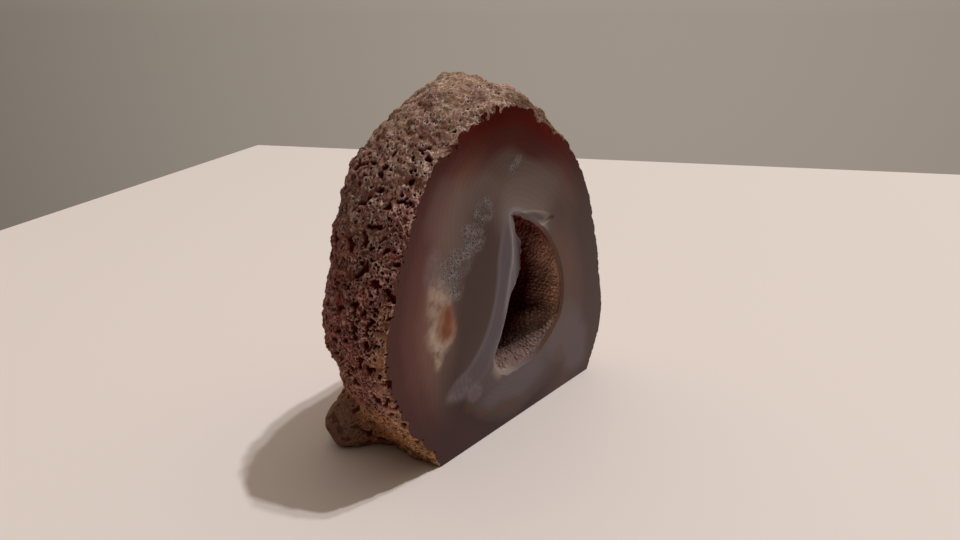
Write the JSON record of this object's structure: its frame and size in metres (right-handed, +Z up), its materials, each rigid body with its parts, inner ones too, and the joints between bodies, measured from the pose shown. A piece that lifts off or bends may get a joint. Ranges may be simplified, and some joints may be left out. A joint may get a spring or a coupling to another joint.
{
  "type": "agate geode",
  "caption": "Standing agate geode: natural pitted rind, one polished banded face with a hollow lined with quartz crystals, and a flat sawn base.",
  "frame": {"origin": "bottom centre of the bounding box, in the plane of the sawn base", "axes": "+Z up from the base, -Y out of the polished face, X along the polished face"},
  "size_m": [0.1077, 0.0497, 0.1067],
  "materials": {
    "agate": "polished face and rough rind",
    "quartz": "glassy"
  },
  "bodies": {
    "root": {"agate_nodule": "agate", "crystal_crust": "quartz"}
  },
  "joints": []
}
